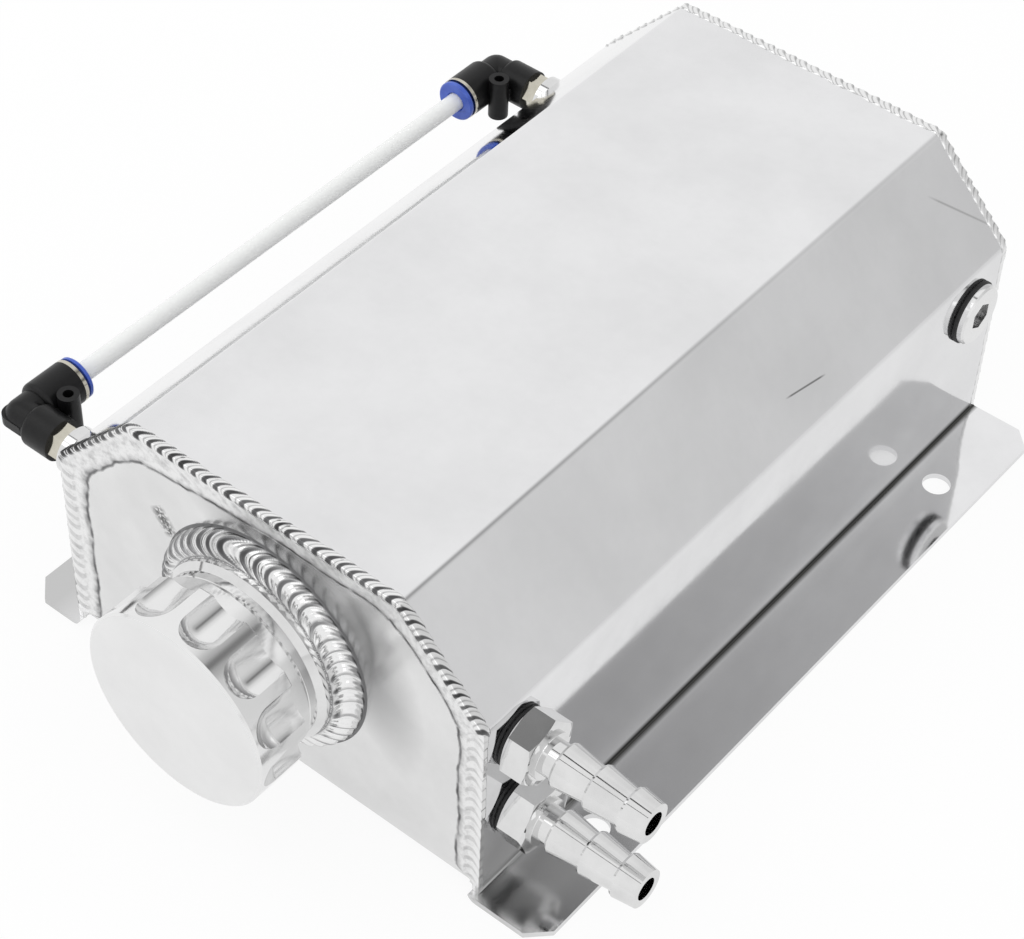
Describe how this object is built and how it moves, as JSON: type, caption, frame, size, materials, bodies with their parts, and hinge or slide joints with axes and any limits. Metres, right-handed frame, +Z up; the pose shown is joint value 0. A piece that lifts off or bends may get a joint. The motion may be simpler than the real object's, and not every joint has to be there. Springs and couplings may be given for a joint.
{
  "type": "coolant expansion tank",
  "caption": "Welded aluminium coolant expansion tank with bolt-down flanges, fluted screw cap, hose fittings, blanking plug and a sight tube between two elbows.",
  "frame": {"origin": "middle of the four mounting holes, on the underside of the flanges", "axes": "X across the tank, hose fittings on the +X side and sight gauge on the -X side; +Y from the filler end to the far end; +Z up"},
  "size_m": [0.2287, 0.2852, 0.1001],
  "materials": {
    "polished_sheet": "polished",
    "end_plate_aluminium": "satin",
    "weld_bead": "bright, rippled",
    "turned_aluminium": "polished",
    "boss_aluminium": "turned",
    "black_rubber": "matte",
    "black_plastic": "moulded, slight sheen",
    "blue_plastic": "moulded, glossy",
    "nickel_plate": "bright nickel plating",
    "spring_steel": "plain",
    "clear_tube": "clear"
  },
  "bodies": {
    "tank": {"shell": "polished_sheet", "floor_plate": "polished_sheet", "front_end_plate": "end_plate_aluminium", "rear_end_plate": "end_plate_aluminium", "front_seam_weld": "weld_bead", "rear_seam_weld": "weld_bead", "filler_neck": "turned_aluminium", "filler_neck_weld": "weld_bead", "upper_hose_fitting": "turned_aluminium", "lower_hose_fitting": "turned_aluminium", "upper_hose_seal": "black_rubber", "lower_hose_seal": "black_rubber", "upper_hose_boss": "boss_aluminium", "lower_hose_boss": "boss_aluminium", "plug_boss": "boss_aluminium", "near_gauge_boss": "boss_aluminium", "far_gauge_boss": "boss_aluminium", "near_elbow": "black_plastic", "far_elbow": "black_plastic", "near_stud": "nickel_plate", "far_stud": "nickel_plate", "near_mouth_ring": "nickel_plate", "far_mouth_ring": "nickel_plate", "near_grab_ring": "spring_steel", "far_grab_ring": "spring_steel", "near_tube_seal": "black_rubber", "far_tube_seal": "black_rubber", "sight_tube": "clear_tube"},
    "cap_ring": {"cap_seal": "black_rubber"},
    "cap": {"filler_cap": "turned_aluminium"},
    "plug_ring": {"plug_seal": "black_rubber"},
    "plug": {"blanking_plug": "turned_aluminium"},
    "near_collar": {"near_release_collar": "blue_plastic"},
    "far_collar": {"far_release_collar": "blue_plastic"}
  },
  "joints": [
    {"name": "cap_rise", "type": "slide", "parent": "tank", "child": "cap_ring", "axis": [0, -1, 0], "range_m": [0, 0.0121]},
    {"name": "cap_turn", "type": "hinge", "parent": "cap_ring", "child": "cap", "pos_m": [0, -0.1246, 0.051], "axis": [0, -1, 0], "range_deg": [0, 1440]},
    {"name": "plug_rise", "type": "slide", "parent": "tank", "child": "plug_ring", "axis": [1, 0, 0], "range_m": [0, 0.0095]},
    {"name": "plug_turn", "type": "hinge", "parent": "plug_ring", "child": "plug", "pos_m": [0.0765, 0.1084, 0.0544], "axis": [1, 0, 0], "range_deg": [0, 2520]},
    {"name": "near_collar_press", "type": "slide", "parent": "tank", "child": "near_collar", "axis": [0, -1, 0], "range_m": [0, 0.0007], "stiffness_N_per_m": 800},
    {"name": "far_collar_press", "type": "slide", "parent": "tank", "child": "far_collar", "axis": [0, 1, 0], "range_m": [0, 0.0007], "stiffness_N_per_m": 800}
  ],
  "couplings": [
    {"joint": "cap_rise", "follows": "cap_turn", "m_per_rad": 0.00047746},
    {"joint": "plug_rise", "follows": "plug_turn", "m_per_rad": 0.00021279}
  ]
}
